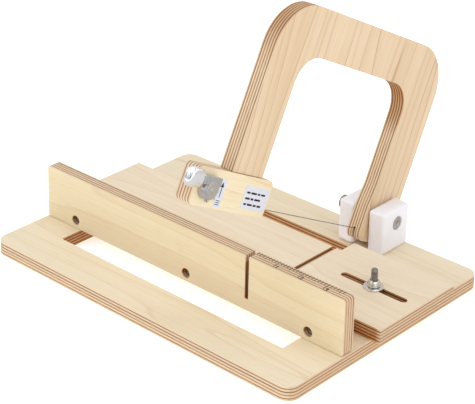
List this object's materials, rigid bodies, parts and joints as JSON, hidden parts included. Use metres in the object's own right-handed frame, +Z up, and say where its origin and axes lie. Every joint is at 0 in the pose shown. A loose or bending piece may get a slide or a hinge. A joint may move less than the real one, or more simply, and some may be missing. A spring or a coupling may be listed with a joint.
{
  "type": "wire soap cutter",
  "caption": "Plywood soap loaf cutter: a hinged bow draws a tensioned wire down through a slotted fence, with a ruler and a sliding stop.",
  "frame": {"origin": "on the underside of the base board, in the plane of the cutting wire and directly below the bow's hinge axis", "axes": "+X along the fence to the right, away from the soap; +Y from the fence back to the hinge; +Z up"},
  "size_m": [0.3495, 0.3362, 0.2665],
  "materials": {
    "plywood": "birch plywood, sanded, light lacquer",
    "dowel": "plain beech",
    "hdpe": "milled white polyethylene",
    "nylon": "plain",
    "zinc": "zinc plated",
    "dark_steel": "dark plated",
    "chrome": "polished",
    "wire": "bright drawn steel",
    "brass": "turned",
    "label": "printed film",
    "ink": "printed marks"
  },
  "bodies": {
    "frame": {"base_board": "plywood", "fence": "plywood", "bed_board": "plywood", "fence_screw_left": "dark_steel", "fence_screw_middle": "dark_steel", "fence_screw_right": "dark_steel", "bed_screw_left_front": "zinc", "bed_screw_left_rear": "zinc", "bed_screw_right_front": "zinc", "bed_screw_right_rear": "zinc", "hinge_block_left": "hdpe", "hinge_block_right": "hdpe", "hinge_screw_left_front": "zinc", "hinge_screw_left_rear": "zinc", "hinge_screw_right_front": "zinc", "hinge_screw_right_rear": "zinc", "hinge_bolt": "dark_steel", "hinge_spacer_left": "nylon", "hinge_spacer_right": "nylon", "hinge_washer": "zinc", "hinge_nut": "zinc"},
    "bow": {"bow": "plywood", "tension_block": "plywood", "block_dowel_front": "dowel", "block_dowel_rear": "dowel", "cutting_wire": "wire", "wire_ball_end": "brass", "wire_guide_pin": "dark_steel", "tuner_housing": "chrome", "tuner_mount_screw": "zinc", "tuner_bushing": "chrome"},
    "string_post": {"tuner_post": "zinc", "tuner_gear": "brass"},
    "tuner_knob": {"tuner_worm": "zinc", "tuner_button": "chrome", "tuner_button_screw": "zinc"},
    "stop": {"stop_bolt": "zinc", "stop_washer": "zinc"},
    "wing_nut": {"wing_nut": "chrome"}
  },
  "joints": [
    {"name": "bow_hinge", "type": "hinge", "parent": "frame", "child": "bow", "pos_m": [0, 0, 0.038], "axis": [-1, 0, 0], "range_deg": [-26, 74]},
    {"name": "tuner_worm_turn", "type": "hinge", "parent": "bow", "child": "tuner_knob", "pos_m": [0.0127, -0.23148, 0.15639], "axis": [0, 0.891, -0.454], "continuous": true},
    {"name": "string_post_turn", "type": "hinge", "parent": "bow", "child": "string_post", "pos_m": [0, -0.23466, 0.15016], "axis": [1, 0, 0], "continuous": true},
    {"name": "stop_slide", "type": "slide", "parent": "frame", "child": "stop", "axis": [1, 0, 0], "range_m": [-0.03, 0.03]},
    {"name": "wing_nut_turn", "type": "hinge", "parent": "stop", "child": "wing_nut", "pos_m": [0.0646, -0.0862, 0.0275], "axis": [0, 0, 1], "continuous": true}
  ],
  "couplings": [
    {"joint": "string_post_turn", "follows": "tuner_worm_turn", "ratio": -0.071429}
  ]
}
